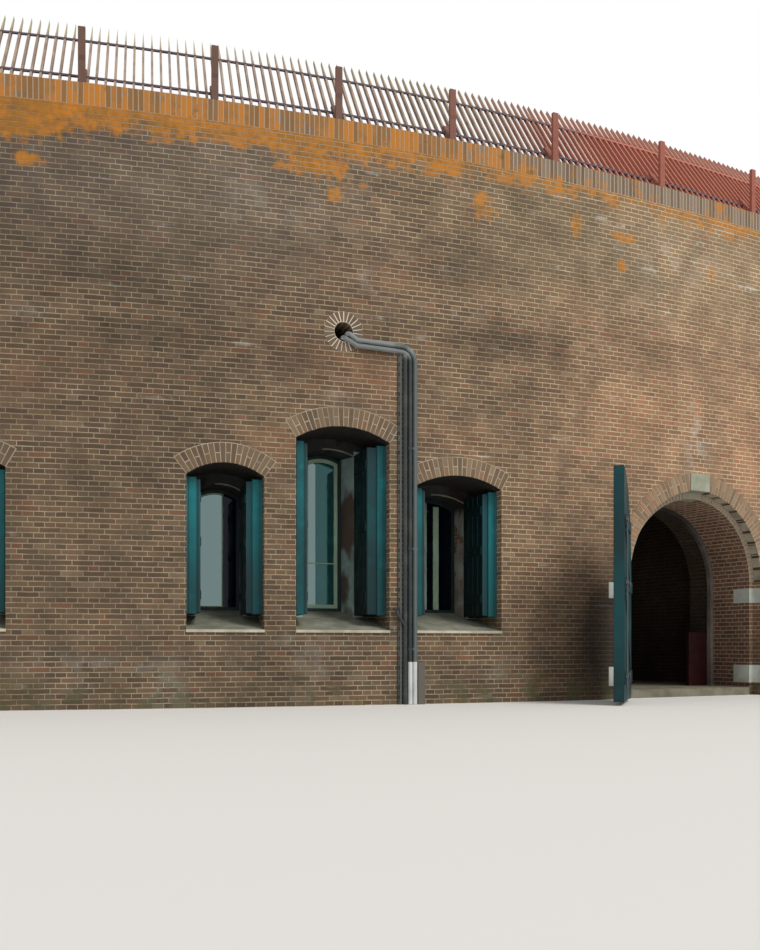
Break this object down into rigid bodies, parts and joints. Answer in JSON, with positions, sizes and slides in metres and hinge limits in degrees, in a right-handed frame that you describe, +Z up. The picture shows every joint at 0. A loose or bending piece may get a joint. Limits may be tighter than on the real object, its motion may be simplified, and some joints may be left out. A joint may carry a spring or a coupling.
{
  "type": "barracks range",
  "caption": "Gently curved brick barracks range with arched windows, open shutters, an arched doorway with a double door, and a leaning iron fence on its wall top.",
  "frame": {"origin": "middle of the range, on the floor slab's underside, level with the ground", "axes": "+X along the range, to the right as seen from the front; -Y out of the front; +Z up"},
  "size_m": [15.6059, 8.3058, 7.7194],
  "materials": {
    "brick": "weathered brown-red brick in light mortar",
    "stone": "worn grey stone",
    "cement_render": "grey cement render",
    "window_frame": "pale green paint, with a glass pane",
    "teal_paint": "dark teal-green gloss paint, weathered",
    "red_paint": "dark red paint",
    "fence_iron": "rusty iron",
    "black_plastic": "black pipe",
    "grey_plastic": "grey pipe"
  },
  "bodies": {
    "range": {"coping": "brick", "door_arch_left": "brick", "door_arch_right": "brick", "door_frame": "cement_render", "door_keystone": "stone", "door_pier_left": "brick", "door_pier_right": "brick", "door_threshold": "stone", "door_wall_head": "brick", "end_wall_left": "brick", "end_wall_right": "brick", "fence_left": "fence_iron", "fence_middle": "fence_iron", "fence_right": "fence_iron", "floor_slab": "stone", "front_wall_left": "brick", "front_wall_middle": "brick", "hinge_stone_high_left": "stone", "hinge_stone_high_right": "stone", "hinge_stone_low_left": "stone", "hinge_stone_low_right": "stone", "inner_board": "red_paint", "pipe_black": "black_plastic", "pipe_duct": "grey_plastic", "pipe_grey": "grey_plastic", "rear_wall_left": "brick", "rear_wall_middle": "brick", "rear_wall_right": "brick", "rear_window_left": "window_frame", "rear_window_middle": "window_frame", "rear_window_right": "window_frame", "roof_slab": "cement_render", "shutter_left_centre_left": "teal_paint", "shutter_left_centre_right": "teal_paint", "shutter_left_left_left": "teal_paint", "shutter_left_left_right": "teal_paint", "shutter_left_right_left": "teal_paint", "shutter_left_right_right": "teal_paint", "shutter_middle_centre_left": "teal_paint", "shutter_middle_centre_right": "teal_paint", "shutter_middle_left_left": "teal_paint", "shutter_middle_left_right": "teal_paint", "shutter_middle_right_left": "teal_paint", "shutter_middle_right_right": "teal_paint", "window_left_centre": "window_frame", "window_left_left": "window_frame", "window_left_right": "window_frame", "window_middle_centre": "window_frame", "window_middle_left": "window_frame", "window_middle_right": "window_frame"},
    "left_leaf": {"door_leaf_left": "teal_paint"},
    "right_leaf": {"door_leaf_right": "teal_paint"}
  },
  "joints": [
    {"name": "left_leaf_hinge", "type": "hinge", "parent": "range", "child": "left_leaf", "pos_m": [4.18565, -3.06677, 0.29], "axis": [0, 0, 1], "range_deg": [-40, 135]},
    {"name": "right_leaf_hinge", "type": "hinge", "parent": "range", "child": "right_leaf", "pos_m": [6.84293, -2.58834, 0.29], "axis": [0, 0, 1], "range_deg": [-135, 40]}
  ]
}
